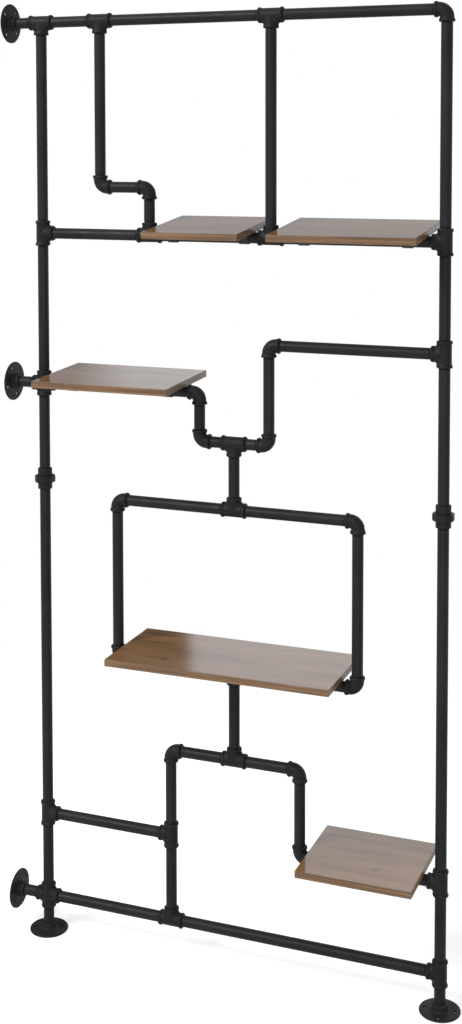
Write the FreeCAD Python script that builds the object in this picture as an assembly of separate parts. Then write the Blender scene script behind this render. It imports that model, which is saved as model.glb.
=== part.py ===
import FreeCAD, Part
import math
import os

# Pipe shelving unit: an upright frame of half-inch pipe and malleable fittings in one plane,
# with five boards strapped on top of its rails.  Millimetres.  +X runs along the frame away
# from the wall, +Y to the back, +Z up.  The origin is where the left post meets the floor.

# --- Pipe and threads -------------------------------------------------------------------
PIPE_OD = 21.3
PIPE_WALL = 2.65
THREAD_OD = 20.8            # pipe end, over the crests of its thread
THREAD_LENGTH = 12.5        # cut length of the thread
THREAD_ENGAGED = 10.5       # length of pipe inside a fitting
THREAD_CLEARANCE = 0.05     # radial, between a thread and its socket
END_CLEARANCE = 1.0         # from the pipe's end to the bottom of the socket

# --- Malleable fittings -----------------------------------------------------------------
TEE_REACH = 25.0            # centre of a tee or cross to the face of each mouth
ELBOW_REACH = 23.0          # centre of an elbow to the face of each mouth
BODY_OD = 26.0
BEAD_OD = 29.6              # swelling around each mouth
BEAD_WIDTH = 8.0
BEAD_SLOPE = 4.0            # length over which the body swells to the bead
BEAD_ROUND = 2.8            # rounded edge of the bead at the mouth
WATERWAY = 16.0
CUT_MARGIN = 1.0            # a socket's cutter passes the face by this much

# --- Flanges ----------------------------------------------------------------------------
FLANGE_OD = 77.0
FLANGE_RIM = 3.8            # thickness at the rim
FLANGE_ROOT = 4.4           # thickness where the plate meets the hub
FLANGE_HUB_OD = 30.0
FLANGE_HEIGHT = 17.0        # mounting face to the top of the hub
HUB_ROUND = 3.0             # hollow corner between hub and plate
HOLE_COUNT = 4
HOLE_D = 7.5
HOLE_CIRCLE = 56.0

# --- Unions -----------------------------------------------------------------------------
UNION_TAIL_REACH = 22.0     # joint of the two halves up to the mouth of the tail
UNION_BASE_REACH = 19.5     # joint of the two halves down to the mouth of the base
UNION_COLLAR_OD = 28.5
UNION_THREAD_OD = 33.0      # thread of the base, inside the nut
UNION_THREAD_LENGTH = 6.0
SHOULDER_OD = 31.0          # shoulder of the tail, held under the nut's lip
SHOULDER_HEIGHT = 4.0
NUT_FLATS = 38.0
NUT_SIDES = 8
NUT_HEIGHT = 13.0
NUT_SKIRT = 6.0             # part of the nut below the joint of the two halves
NUT_BEVEL = 1.2
UNION_CLEARANCE = 0.1

# --- Boards, straps and screws ----------------------------------------------------------
BOARD_DEPTH = 200.0
BOARD_THICKNESS = 13.2
BOARD_EDGE = 0.6            # bevel along every edge
BOARD_END_GAP = 0.3         # from a board's end to the mouth that it is pushed up to
UPPER_LEFT_BOARD_GAPS = (2.5, 4.5)  # from this board's left and right ends to the mouths
UPPER_RIGHT_BOARD_GAP = 3.5         # the same at the right ends of the next three
SIDE_BOARD_GAP = 3.0
LOW_BOARD_GAP = 5.0
SEAT_CLEARANCE = 0.05       # from a board's underside to the pipe or bead that carries it
UPPER_LEAN = 6.4            # degrees, front edge down, both boards on the upper rail
SIDE_LEAN = 2.5             # degrees, front edge down, board beside the middle cross
CENTRE_BOARD_LEFT_GAP = 2.5     # from the loop's left side to the centre board
CENTRE_BOARD_RIGHT_GAP = 9.5    # from the centre board to the loop's right side
STRAP_WIDTH = 19.0
STRAP_THICKNESS = 1.8
STRAP_EAR = 15.0            # flat ear beyond the loop, each side
STRAP_CORNER = 4.0
STRAP_CLEARANCE = 0.1       # between pipe and strap
STRAP_HOLE_D = 4.2
STRAP_INSET = 40.0          # board end to strap centre
SHORT_BOARD_INSET = 23.0    # the same on the shortest board
SCREW_D = 3.5
SCREW_LENGTH = 9.0          # shank under the head
SCREW_HEAD_D = 7.5
SCREW_HEAD_HEIGHT = 2.4
SCREW_HEAD_ROUND = 1.0
SCREW_CLEARANCE = 0.05      # radial, screw in its pilot hole
DRIVE_WIDTH = 1.0           # cross recess in the head
DRIVE_SPAN = 4.2
DRIVE_DEPTH = 1.3

# --- Frame grid: spacing of the upright lines ---------------------------------------------
WALL_GAP = 70.0             # wall to the left post's axis
POST_SPAN = 812.0           # left post to right post
HOOK_OUTER = 127.5          # left post to the hook's outer pipe
HOOK_WIDTH = 104.5          # the hook's outer pipe to its inner pipe
MIDDLE_BAY = 248.5          # the hook's inner pipe to the middle post
LINK_HALF = 70.5            # upper link, each side of the centre line
LOOP_HALF = 245.5           # loop, each side of the centre line
LOWER_LINK_HALF = 133.0     # lower link, each side of the centre line
HOOK_INNER = HOOK_OUTER + HOOK_WIDTH
MIDDLE_POST = HOOK_INNER + MIDDLE_BAY
CENTRE = POST_SPAN / 2

# --- Frame grid: rise of each level over the one below it -----------------------------------
BOTTOM_RISE = 72.5          # floor to the bottom rail
LOW_RISE = 171.5            # to the low shelf's rail
LOWER_LINK_RISE = 169.5     # to the lower link
CENTRE_RISE = 173.5         # to the centre shelf's rail, the foot of the loop
LOOP_RISE = 314.5           # to the top of the loop
UPPER_LINK_RISE = 128.5     # to the upper link
SIDE_RISE = 93.5            # to the side shelf's rail
STEP_RISE = 97.5            # to the step rail
UPPER_RISE = 202.0          # to the upper shelves' rail
HOOK_RISE = 92.5            # to the foot of the hook
TOP_RISE = 322.0            # to the top rail
LEFT_UNION_DROP = 193.5     # side shelf's rail down to the left union
RIGHT_UNION_DROP = 296.0    # step rail down to the right union

BOTTOM_RAIL = BOTTOM_RISE
LOW_RAIL = BOTTOM_RAIL + LOW_RISE
LOWER_LINK = LOW_RAIL + LOWER_LINK_RISE
CENTRE_SHELF_RAIL = LOWER_LINK + CENTRE_RISE
LOOP_TOP = CENTRE_SHELF_RAIL + LOOP_RISE
UPPER_LINK = LOOP_TOP + UPPER_LINK_RISE
SIDE_SHELF_RAIL = UPPER_LINK + SIDE_RISE
STEP_RAIL = SIDE_SHELF_RAIL + STEP_RISE
UPPER_SHELF_RAIL = STEP_RAIL + UPPER_RISE
HOOK = UPPER_SHELF_RAIL + HOOK_RISE
TOP_RAIL = HOOK + TOP_RISE

# --- Directions of a fitting's mouths -----------------------------------------------------
SIDES = {
    "L": FreeCAD.Vector(-1, 0, 0),
    "R": FreeCAD.Vector(1, 0, 0),
    "U": FreeCAD.Vector(0, 0, 1),
    "D": FreeCAD.Vector(0, 0, -1),
}
ORIGIN = FreeCAD.Vector(0, 0, 0)
UP = SIDES["U"]
BACK = FreeCAD.Vector(0, 1, 0)

# Every fitting: place in the frame's plane and the sides on which it has a mouth.
FITTINGS = {
    "top_post": (0, TOP_RAIL, "LRD"),
    "top_left": (HOOK_OUTER, TOP_RAIL, "LRD"),
    "top_middle": (MIDDLE_POST, TOP_RAIL, "LRD"),
    "top_corner": (POST_SPAN, TOP_RAIL, "LD"),
    "hook_outer": (HOOK_OUTER, HOOK, "UR"),
    "hook_inner": (HOOK_INNER, HOOK, "LD"),
    "upper_left": (0, UPPER_SHELF_RAIL, "UDR"),
    "shelf_left": (HOOK_INNER, UPPER_SHELF_RAIL, "LRU"),
    "shelf_middle": (MIDDLE_POST, UPPER_SHELF_RAIL, "LRU"),
    "upper_right": (POST_SPAN, UPPER_SHELF_RAIL, "UDL"),
    "step_right": (POST_SPAN, STEP_RAIL, "UDL"),
    "middle_cross": (0, SIDE_SHELF_RAIL, "LRUD"),
    "link_left_high": (CENTRE - LINK_HALF, SIDE_SHELF_RAIL, "LD"),
    "link_left_low": (CENTRE - LINK_HALF, UPPER_LINK, "UR"),
    "link_middle": (CENTRE, UPPER_LINK, "LRD"),
    "link_right_low": (CENTRE + LINK_HALF, UPPER_LINK, "LU"),
    "link_right_high": (CENTRE + LINK_HALF, STEP_RAIL, "DR"),
    "loop_hanger": (CENTRE, LOOP_TOP, "LRU"),
    "loop_top_left": (CENTRE - LOOP_HALF, LOOP_TOP, "RD"),
    "loop_top_right": (CENTRE + LOOP_HALF, LOOP_TOP, "LD"),
    "loop_bottom_left": (CENTRE - LOOP_HALF, CENTRE_SHELF_RAIL, "UR"),
    "loop_bottom_right": (CENTRE + LOOP_HALF, CENTRE_SHELF_RAIL, "UL"),
    "loop_foot": (CENTRE, CENTRE_SHELF_RAIL, "LRD"),
    "lower_link": (CENTRE, LOWER_LINK, "LRU"),
    "lower_link_left": (CENTRE - LOWER_LINK_HALF, LOWER_LINK, "RD"),
    "lower_link_right": (CENTRE + LOWER_LINK_HALF, LOWER_LINK, "LD"),
    "low_shelf_left": (CENTRE + LOWER_LINK_HALF, LOW_RAIL, "UR"),
    "low_left": (0, LOW_RAIL, "UDR"),
    "low_post": (CENTRE - LOWER_LINK_HALF, LOW_RAIL, "UDL"),
    "low_right": (POST_SPAN, LOW_RAIL, "UDL"),
    "bottom_cross": (0, BOTTOM_RAIL, "LRUD"),
    "bottom_post": (CENTRE - LOWER_LINK_HALF, BOTTOM_RAIL, "LRU"),
    "bottom_right": (POST_SPAN, BOTTOM_RAIL, "UDL"),
}

# Every flange: place of its mounting face, side that its pipe leaves on, turn of its holes.
FLANGES = {
    "top_wall_flange": (-WALL_GAP, TOP_RAIL, "R", 52.0),
    "middle_wall_flange": (-WALL_GAP, SIDE_SHELF_RAIL, "R", 18.0),
    "bottom_wall_flange": (-WALL_GAP, BOTTOM_RAIL, "R", 37.0),
    "left_floor_flange": (0, 0, "U", 22.0),
    "right_floor_flange": (POST_SPAN, 0, "U", 5.0),
}

# Every union: the joint of its two halves.  A pipe ends in its base below or its tail above.
UNIONS = {
    "left_union": (0, SIDE_SHELF_RAIL - LEFT_UNION_DROP),
    "right_union": (POST_SPAN, STEP_RAIL - RIGHT_UNION_DROP),
}
UNION_ENDS = {}
for union, (union_x, union_z) in UNIONS.items():
    UNION_ENDS[union + "_base"] = (union_x, union_z, UNION_BASE_REACH)
    UNION_ENDS[union + "_tail"] = (union_x, union_z, UNION_TAIL_REACH)

# Which fittings share a node.
FITTING_NODES = {
    "top_post_tee": ["top_post"],
    "top_rail_tees": ["top_left", "top_middle"],
    "top_corner_elbow": ["top_corner"],
    "hook_elbows": ["hook_outer", "hook_inner"],
    "left_post_tees": ["upper_left", "low_left"],
    "shelf_rail_tees": ["shelf_left", "shelf_middle"],
    "right_upper_tees": ["upper_right", "step_right"],
    "right_lower_tees": ["low_right", "bottom_right"],
    "middle_cross": ["middle_cross"],
    "bottom_cross": ["bottom_cross"],
    "left_link_elbows": ["link_left_high", "link_left_low"],
    "right_link_elbows": ["link_right_low", "link_right_high"],
    "link_tees": ["link_middle", "loop_hanger"],
    "loop_top_elbows": ["loop_top_left", "loop_top_right"],
    "loop_bottom_elbows": ["loop_bottom_left", "loop_bottom_right"],
    "centre_tees": ["loop_foot", "lower_link"],
    "lower_link_elbows": ["lower_link_left", "lower_link_right"],
    "low_shelf_elbow": ["low_shelf_left"],
    "lower_post_tees": ["low_post", "bottom_post"],
}

# Which pipes share a node: each pipe runs between two fittings, flanges or union halves.
PIPE_NODES = {
    "wall_nipples": [("top_wall_flange", "top_post"), ("middle_wall_flange", "middle_cross"),
                     ("bottom_wall_flange", "bottom_cross")],
    "floor_nipples": [("left_floor_flange", "bottom_cross"),
                      ("right_floor_flange", "bottom_right")],
    "left_post_lower_pipes": [("bottom_cross", "low_left"), ("low_left", "left_union_base")],
    "left_post_upper_pipes": [("left_union_tail", "middle_cross"), ("middle_cross", "upper_left"),
                              ("upper_left", "top_post")],
    "right_post_lower_pipes": [("bottom_right", "low_right"), ("low_right", "right_union_base")],
    "right_post_upper_pipes": [("right_union_tail", "step_right"), ("step_right", "upper_right"),
                               ("upper_right", "top_corner")],
    "top_rail_pipes": [("top_post", "top_left"), ("top_left", "top_middle"),
                       ("top_middle", "top_corner")],
    "hook_pipes": [("top_left", "hook_outer"), ("hook_outer", "hook_inner"),
                   ("hook_inner", "shelf_left")],
    "middle_post_pipe": [("top_middle", "shelf_middle")],
    "upper_shelf_rail_pipes": [("upper_left", "shelf_left"), ("shelf_left", "shelf_middle"),
                               ("shelf_middle", "upper_right")],
    "side_shelf_rail_pipe": [("middle_cross", "link_left_high")],
    "link_drop_pipe": [("link_left_high", "link_left_low")],
    "link_nipples": [("link_left_low", "link_middle"), ("link_middle", "link_right_low")],
    "link_rise_pipe": [("link_right_low", "link_right_high")],
    "step_rail_pipe": [("link_right_high", "step_right")],
    "loop_hanger_pipe": [("link_middle", "loop_hanger")],
    "loop_top_pipes": [("loop_top_left", "loop_hanger"), ("loop_hanger", "loop_top_right")],
    "loop_side_pipes": [("loop_top_left", "loop_bottom_left"),
                        ("loop_top_right", "loop_bottom_right")],
    "centre_shelf_rail_pipes": [("loop_bottom_left", "loop_foot"),
                                ("loop_foot", "loop_bottom_right")],
    "centre_drop_pipe": [("loop_foot", "lower_link")],
    "lower_link_pipes": [("lower_link_left", "lower_link"), ("lower_link", "lower_link_right")],
    "lower_post_pipes": [("lower_link_left", "low_post"), ("low_post", "bottom_post")],
    "low_shelf_drop_pipe": [("lower_link_right", "low_shelf_left")],
    "low_rail_pipes": [("low_left", "low_post"), ("low_shelf_left", "low_right")],
    "bottom_rail_pipes": [("bottom_cross", "bottom_post"), ("bottom_post", "bottom_right")],
}


# --- Helpers --------------------------------------------------------------------------------
def cylinder(radius, start, end, side):
    """Round bar along one side, from start to end measured out from the centre."""
    base = SIDES[side] * start
    return Part.makeCylinder(radius, end - start, base, SIDES[side])


def turned(edges):
    """Solid turned about +Z from the edges of its outline, which lie in the XZ plane."""
    face = Part.Face(Part.Wire(Part.__sortEdges__(edges)))
    return face.revolve(ORIGIN, UP, 360)


def outline(points):
    """Straight edges through (radius, height) points."""
    corners = [FreeCAD.Vector(radius, 0, height) for radius, height in points]
    return [Part.makeLine(a, b) for a, b in zip(corners, corners[1:])]


def arc(start, through, end):
    """Curved edge through three (radius, height) points."""
    corners = [FreeCAD.Vector(radius, 0, height) for radius, height in (start, through, end)]
    return Part.Arc(*corners).toShape()


def aimed(shape, side):
    """Turn a shape built along +Z so that it points to one side."""
    turn = {"U": 0, "R": 90, "L": -90, "D": 180}[side]
    return shape.rotate(ORIGIN, BACK, turn)


def quarter_bend(radius, bend_radius, sides):
    """Round bar that bends from one side to the other about the corner between them."""
    first = SIDES[sides[0]]
    second = SIDES[sides[1]]
    hinge = (first + second) * bend_radius
    ring = Part.Face(Part.Wire(Part.makeCircle(radius, first * bend_radius, first)))
    return ring.revolve(hinge, first.cross(second), -90)


# --- Fittings ---------------------------------------------------------------------------------
def mouth(side, start, face):
    """One mouth of a fitting: body from start outwards, with its bead at the face."""
    body = BODY_OD / 2
    crest = BEAD_OD / 2
    bead_start = face - BEAD_WIDTH
    edge = BEAD_ROUND * (1 - math.sqrt(0.5))
    edges = outline([(0, face), (0, start), (body, start)])
    if bead_start > start:
        edges += outline([(body, start), (body, bead_start)])
    edges += outline([(body, bead_start), (crest, bead_start + BEAD_SLOPE),
                      (crest, face - BEAD_ROUND)])
    edges.append(arc((crest, face - BEAD_ROUND), (crest - edge, face - edge),
                     (crest - BEAD_ROUND, face)))
    edges += outline([(crest - BEAD_ROUND, face), (0, face)])
    return aimed(turned(edges), side)


def socket(side, face):
    """Threaded hole of one mouth."""
    depth = THREAD_ENGAGED + END_CLEARANCE
    radius = THREAD_OD / 2 + THREAD_CLEARANCE
    return cylinder(radius, face - depth, face + CUT_MARGIN, side)


def elbow(sides):
    bend_radius = ELBOW_REACH - BEAD_WIDTH
    body = quarter_bend(BODY_OD / 2, bend_radius, sides)
    body = body.fuse([mouth(side, bend_radius, ELBOW_REACH) for side in sides])
    hollow = [quarter_bend(WATERWAY / 2, bend_radius, sides)]
    hollow += [socket(side, ELBOW_REACH) for side in sides]
    return body.cut(hollow)


def branched(sides):
    """Tee or cross: straight arms that meet at the centre."""
    arms = [mouth(side, 0, TEE_REACH) for side in sides]
    hub = Part.makeSphere(BODY_OD / 2)
    body = hub.fuse(arms)
    hollow = [Part.makeSphere(WATERWAY / 2)]
    hollow += [cylinder(WATERWAY / 2, 0, TEE_REACH, side) for side in sides]
    hollow += [socket(side, TEE_REACH) for side in sides]
    return body.cut(hollow)


def is_elbow(sides):
    return len(sides) == 2


def fitting(name):
    x, z, sides = FITTINGS[name]
    shape = elbow(sides) if is_elbow(sides) else branched(sides)
    shape = shape.removeSplitter()
    shape.translate(FreeCAD.Vector(x, 0, z))
    return shape


def flange(name):
    """Round plate with a threaded hub; its mounting face is at the named place."""
    x, z, side, hole_turn = FLANGES[name]
    rim = FLANGE_OD / 2
    hub = FLANGE_HUB_OD / 2
    bore = THREAD_OD / 2 + THREAD_CLEARANCE
    hollow = HUB_ROUND * (1 - math.sqrt(0.5))
    edges = outline([(bore, 0), (rim, 0), (rim, FLANGE_RIM),
                     (hub + HUB_ROUND, FLANGE_ROOT)])
    edges.append(arc((hub + HUB_ROUND, FLANGE_ROOT), (hub + hollow, FLANGE_ROOT + hollow),
                     (hub, FLANGE_ROOT + HUB_ROUND)))
    edges += outline([(hub, FLANGE_ROOT + HUB_ROUND), (hub, FLANGE_HEIGHT),
                      (bore, FLANGE_HEIGHT), (bore, 0)])
    shape = turned(edges)
    for index in range(HOLE_COUNT):
        angle = math.radians(hole_turn + index * 360 / HOLE_COUNT)
        place = FreeCAD.Vector(math.cos(angle), math.sin(angle), 0) * (HOLE_CIRCLE / 2)
        shape = shape.cut(Part.makeCylinder(HOLE_D / 2, FLANGE_HEIGHT, place, UP))
    shape = aimed(shape, side)
    shape.translate(FreeCAD.Vector(x, 0, z))
    return shape


# --- Unions -----------------------------------------------------------------------------------
def union_half(side, step_radius, step_height, face):
    """Half of a union: a wide step at the joint, then the collar, its socket and waterway."""
    collar = UNION_COLLAR_OD / 2
    shape = turned(outline([(0, 0), (step_radius, 0), (step_radius, step_height),
                            (collar, step_height), (collar, face), (0, face), (0, 0)]))
    hollow = [cylinder(WATERWAY / 2, 0, face, side), socket(side, face)]
    return aimed(shape, side).cut(hollow)


def union_base():
    """Lower half: its step is the thread that the nut runs on."""
    return union_half("D", UNION_THREAD_OD / 2, UNION_THREAD_LENGTH, UNION_BASE_REACH)


def union_tail():
    """Upper half: its step is the shoulder that the nut pulls down."""
    return union_half("U", SHOULDER_OD / 2, SHOULDER_HEIGHT, UNION_TAIL_REACH)


def union_nut():
    """Eight-sided nut, threaded below the joint, with a lip over the tail's shoulder."""
    corner = NUT_FLATS / 2 / math.cos(math.pi / NUT_SIDES)
    points = []
    for index in range(NUT_SIDES + 1):
        angle = math.pi * (2 * index + 1) / NUT_SIDES
        points.append(FreeCAD.Vector(math.cos(angle), math.sin(angle), 0) * corner)
    prism = Part.Face(Part.makePolygon(points)).extrude(UP * NUT_HEIGHT)
    bevelled = turned(outline([(0, 0), (corner - NUT_BEVEL, 0), (corner, NUT_BEVEL),
                               (corner, NUT_HEIGHT - NUT_BEVEL),
                               (corner - NUT_BEVEL, NUT_HEIGHT), (0, NUT_HEIGHT), (0, 0)]))
    shape = prism.common(bevelled)
    shape.translate(FreeCAD.Vector(0, 0, -NUT_SKIRT))
    lip = SHOULDER_HEIGHT + UNION_CLEARANCE
    thread = Part.makeCylinder(UNION_THREAD_OD / 2 + UNION_CLEARANCE, NUT_SKIRT + lip,
                               FreeCAD.Vector(0, 0, -NUT_SKIRT), UP)
    through = Part.makeCylinder(UNION_COLLAR_OD / 2 + UNION_CLEARANCE, NUT_HEIGHT,
                                ORIGIN, UP)
    return shape.cut([thread, through])


def at_unions(build):
    """The same piece at each union."""
    copies = []
    for x, z in UNIONS.values():
        shape = build()
        shape.translate(FreeCAD.Vector(x, 0, z))
        copies.append(shape)
    return copies


# --- Pipes ------------------------------------------------------------------------------------
def joint_place(name):
    """Centre of a fitting, union half or flange, and how far its mouth stands from there."""
    if name in FLANGES:
        x, z = FLANGES[name][:2]
        reach = FLANGE_HEIGHT
    elif name in UNION_ENDS:
        x, z, reach = UNION_ENDS[name]
    else:
        x, z, sides = FITTINGS[name]
        reach = ELBOW_REACH if is_elbow(sides) else TEE_REACH
    return FreeCAD.Vector(x, 0, z), reach


def pipe(first, second):
    """Pipe between two mouths, with a thread cut on each end."""
    start, start_reach = joint_place(first)
    end, end_reach = joint_place(second)
    span = end - start
    direction = FreeCAD.Vector(span).normalize()
    begin = start_reach - THREAD_ENGAGED
    length = span.Length - begin - (end_reach - THREAD_ENGAGED)
    thread = THREAD_OD / 2
    full = PIPE_OD / 2
    step = full - thread
    bore = full - PIPE_WALL
    thread_length = min(THREAD_LENGTH, length / 3)
    shape = turned(outline([(bore, 0), (thread, 0), (thread, thread_length),
                            (full, thread_length + step),
                            (full, length - thread_length - step),
                            (thread, length - thread_length), (thread, length),
                            (bore, length), (bore, 0)]))
    shape.Placement = FreeCAD.Placement(start + direction * begin,
                                        FreeCAD.Rotation(UP, direction))
    return shape


# --- Boards, straps and screws ------------------------------------------------------------------
def mouth_face(name, side):
    """X of a fitting's face on its left or right."""
    centre, reach = joint_place(name)
    return centre.x + SIDES[side].x * reach


def between(left, right, left_gap, right_gap):
    """Ends of a board that fits between the mouths of two fittings."""
    return mouth_face(left, "R") + left_gap, mouth_face(right, "L") - right_gap


CENTRE_BOARD_LEFT = CENTRE - LOOP_HALF + BEAD_OD / 2 + CENTRE_BOARD_LEFT_GAP
CENTRE_BOARD_RIGHT = CENTRE + LOOP_HALF - BEAD_OD / 2 - CENTRE_BOARD_RIGHT_GAP
ON_PIPE = PIPE_OD / 2 + SEAT_CLEARANCE
ON_BEADS = BEAD_OD / 2 + SEAT_CLEARANCE

# Every board: its ends, rail height, height of its underside over the rail's axis, lean, inset.
BOARDS = {
    "upper_left_shelf": (between("shelf_left", "shelf_middle", *UPPER_LEFT_BOARD_GAPS),
                         UPPER_SHELF_RAIL, ON_PIPE, UPPER_LEAN, SHORT_BOARD_INSET),
    "upper_right_shelf": (between("shelf_middle", "upper_right", BOARD_END_GAP,
                                  UPPER_RIGHT_BOARD_GAP),
                          UPPER_SHELF_RAIL, ON_PIPE, UPPER_LEAN, STRAP_INSET),
    "side_shelf": (between("middle_cross", "link_left_high", BOARD_END_GAP, SIDE_BOARD_GAP),
                   SIDE_SHELF_RAIL, ON_PIPE, SIDE_LEAN, STRAP_INSET),
    "centre_shelf": ((CENTRE_BOARD_LEFT, CENTRE_BOARD_RIGHT), CENTRE_SHELF_RAIL, ON_BEADS,
                     0.0, STRAP_INSET),
    "low_shelf": (between("low_shelf_left", "low_right", BOARD_END_GAP, LOW_BOARD_GAP),
                  LOW_RAIL, ON_PIPE, 0.0, STRAP_INSET),
}
SCREW_ROW = PIPE_OD / 2 + STRAP_CLEARANCE + STRAP_THICKNESS + STRAP_EAR / 2


def strap_places(ends, inset):
    return [ends[0] + inset, ends[1] - inset]


def seated(shape, rail, lean):
    """Lean a board's piece about its rail and lift it to the rail's height."""
    shape.rotate(ORIGIN, SIDES["R"], lean)
    shape.translate(FreeCAD.Vector(0, 0, rail))
    return shape


def board(name):
    (left, right), rail, seat, lean, inset = BOARDS[name]
    corner = FreeCAD.Vector(left, -BOARD_DEPTH / 2, seat)
    shape = Part.makeBox(right - left, BOARD_DEPTH, BOARD_THICKNESS, corner)
    shape = shape.makeChamfer(BOARD_EDGE, shape.Edges)
    depth = SCREW_LENGTH - STRAP_THICKNESS + SCREW_CLEARANCE
    holes = []
    for x in strap_places((left, right), inset):
        for y in (-SCREW_ROW, SCREW_ROW):
            holes.append(Part.makeCylinder(SCREW_D / 2 + SCREW_CLEARANCE, depth,
                                           FreeCAD.Vector(x, y, seat), UP))
    return seated(shape.cut(holes), rail, lean)


def strap(x, seat):
    """Band around the underside of the pipe, with a flat ear on each side."""
    inner = PIPE_OD / 2 + STRAP_CLEARANCE
    outer = inner + STRAP_THICKNESS
    ear = outer + STRAP_EAR
    under = seat - STRAP_THICKNESS

    def corner(y, z):
        return FreeCAD.Vector(x - STRAP_WIDTH / 2, y, z)

    def bend(radius):
        return Part.Arc(corner(-radius, 0), corner(0, -radius), corner(radius, 0)).toShape()

    left = [corner(-inner, 0), corner(-inner, seat), corner(-ear, seat),
            corner(-ear, under), corner(-outer, under), corner(-outer, 0)]
    right = [FreeCAD.Vector(point.x, -point.y, point.z) for point in left]
    edges = [bend(inner), bend(outer)]
    for side in (left, right):
        edges += [Part.makeLine(a, b) for a, b in zip(side, side[1:])]
    wire = Part.Wire(Part.__sortEdges__(edges))
    shape = Part.Face(wire).extrude(SIDES["R"] * STRAP_WIDTH)
    plan = Part.makeBox(STRAP_WIDTH, 2 * ear, seat + 2 * outer,
                        FreeCAD.Vector(x - STRAP_WIDTH / 2, -ear, -2 * outer))
    upright = [edge for edge in plan.Edges if abs(edge.tangentAt(0).z) > 0.9]
    shape = shape.common(plan.makeFillet(STRAP_CORNER, upright))
    holes = [Part.makeCylinder(STRAP_HOLE_D / 2, 3 * STRAP_THICKNESS,
                               FreeCAD.Vector(x, y, seat - 2 * STRAP_THICKNESS), UP)
             for y in (-SCREW_ROW, SCREW_ROW)]
    return shape.cut(holes)


def screw(x, y, seat):
    """Pan-head screw, driven upwards through the strap into the board."""
    head = SCREW_HEAD_D / 2
    shank = SCREW_D / 2
    edge = SCREW_HEAD_ROUND * (1 - math.sqrt(0.5))
    edges = outline([(0, SCREW_LENGTH), (0, -SCREW_HEAD_HEIGHT),
                     (head - SCREW_HEAD_ROUND, -SCREW_HEAD_HEIGHT)])
    edges.append(arc((head - SCREW_HEAD_ROUND, -SCREW_HEAD_HEIGHT),
                     (head - edge, edge - SCREW_HEAD_HEIGHT),
                     (head, SCREW_HEAD_ROUND - SCREW_HEAD_HEIGHT)))
    edges += outline([(head, SCREW_HEAD_ROUND - SCREW_HEAD_HEIGHT), (head, 0), (shank, 0),
                      (shank, SCREW_LENGTH - shank), (0, SCREW_LENGTH)])
    shape = turned(edges)
    half = DRIVE_SPAN / 2
    slot = Part.makeBox(DRIVE_SPAN, DRIVE_WIDTH, DRIVE_DEPTH,
                        FreeCAD.Vector(-half, -DRIVE_WIDTH / 2, -SCREW_HEAD_HEIGHT))
    cross = Part.makeBox(DRIVE_WIDTH, DRIVE_SPAN, DRIVE_DEPTH,
                         FreeCAD.Vector(-DRIVE_WIDTH / 2, -half, -SCREW_HEAD_HEIGHT))
    shape = shape.cut([slot, cross])
    shape.translate(FreeCAD.Vector(x, y, seat - STRAP_THICKNESS))
    return shape


def straps_and_screws():
    """Two straps under every board, each held by two screws."""
    straps = []
    screws = []
    for ends, rail, seat, lean, inset in BOARDS.values():
        for x in strap_places(ends, inset):
            straps.append(seated(strap(x, seat), rail, lean))
            for y in (-SCREW_ROW, SCREW_ROW):
                screws.append(seated(screw(x, y, seat), rail, lean))
    return straps, screws


# --- Export -----------------------------------------------------------------------------------
def export(node, shapes):
    """One STEP file per node; several pieces in a node stay separate solids."""
    shape = shapes[0] if len(shapes) == 1 else Part.makeCompound(shapes)
    shape.exportStep("parts/" + node + ".step")


os.makedirs("parts", exist_ok=True)
for node, names in FITTING_NODES.items():
    export(node, [fitting(name) for name in names])
for node in FLANGES:
    export(node, [flange(node)])
for node, runs in PIPE_NODES.items():
    export(node, [pipe(first, second) for first, second in runs])
export("union_bases", at_unions(union_base))
export("union_tails", at_unions(union_tail))
export("union_nuts", at_unions(union_nut))
for node in BOARDS:
    export(node, [board(node)])
strap_shapes, screw_shapes = straps_and_screws()
export("pipe_straps", strap_shapes)
export("strap_screws", screw_shapes)
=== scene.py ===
import math

import bmesh
import bpy
import numpy as np
from mathutils import Matrix, Vector


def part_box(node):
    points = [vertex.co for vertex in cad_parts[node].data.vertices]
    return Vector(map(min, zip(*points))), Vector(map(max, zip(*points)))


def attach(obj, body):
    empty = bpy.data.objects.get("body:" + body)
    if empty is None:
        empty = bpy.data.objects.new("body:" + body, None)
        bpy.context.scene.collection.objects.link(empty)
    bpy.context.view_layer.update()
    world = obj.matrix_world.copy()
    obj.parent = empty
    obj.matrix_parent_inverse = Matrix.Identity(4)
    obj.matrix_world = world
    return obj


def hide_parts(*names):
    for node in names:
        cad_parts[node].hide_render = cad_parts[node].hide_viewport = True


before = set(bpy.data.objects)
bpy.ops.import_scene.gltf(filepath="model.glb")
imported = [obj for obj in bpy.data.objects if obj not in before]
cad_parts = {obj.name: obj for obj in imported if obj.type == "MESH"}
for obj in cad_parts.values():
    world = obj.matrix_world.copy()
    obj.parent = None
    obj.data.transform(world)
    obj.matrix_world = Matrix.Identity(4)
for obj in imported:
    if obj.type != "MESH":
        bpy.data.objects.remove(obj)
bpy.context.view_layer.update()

# Pipe shelving unit, in metres: +X along the frame away from the wall, +Y to the back, +Z up.
# Every piece is rebuilt here where its CAD solid stands, with its edges rounded, its threads
# cut and its cast shapes blended.

# --- Pipe ---
PIPE_R = 0.01065
PIPE_BORE_R = 0.008
THREAD_R = 0.0104           # over the crests
THREAD_DEPTH = 0.0009
THREAD_PITCH = 0.001814
THREAD_LENGTH = 0.0125
THREAD_RINGS = 5            # rings of points in each turn of a pipe's thread
ROUND_STEPS = 48            # sides of every pipe and fitting
FINE_STEPS = 96             # sides of flanges and nuts
EDGE_BREAK = 0.0004         # chamfer on plain edges

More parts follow.
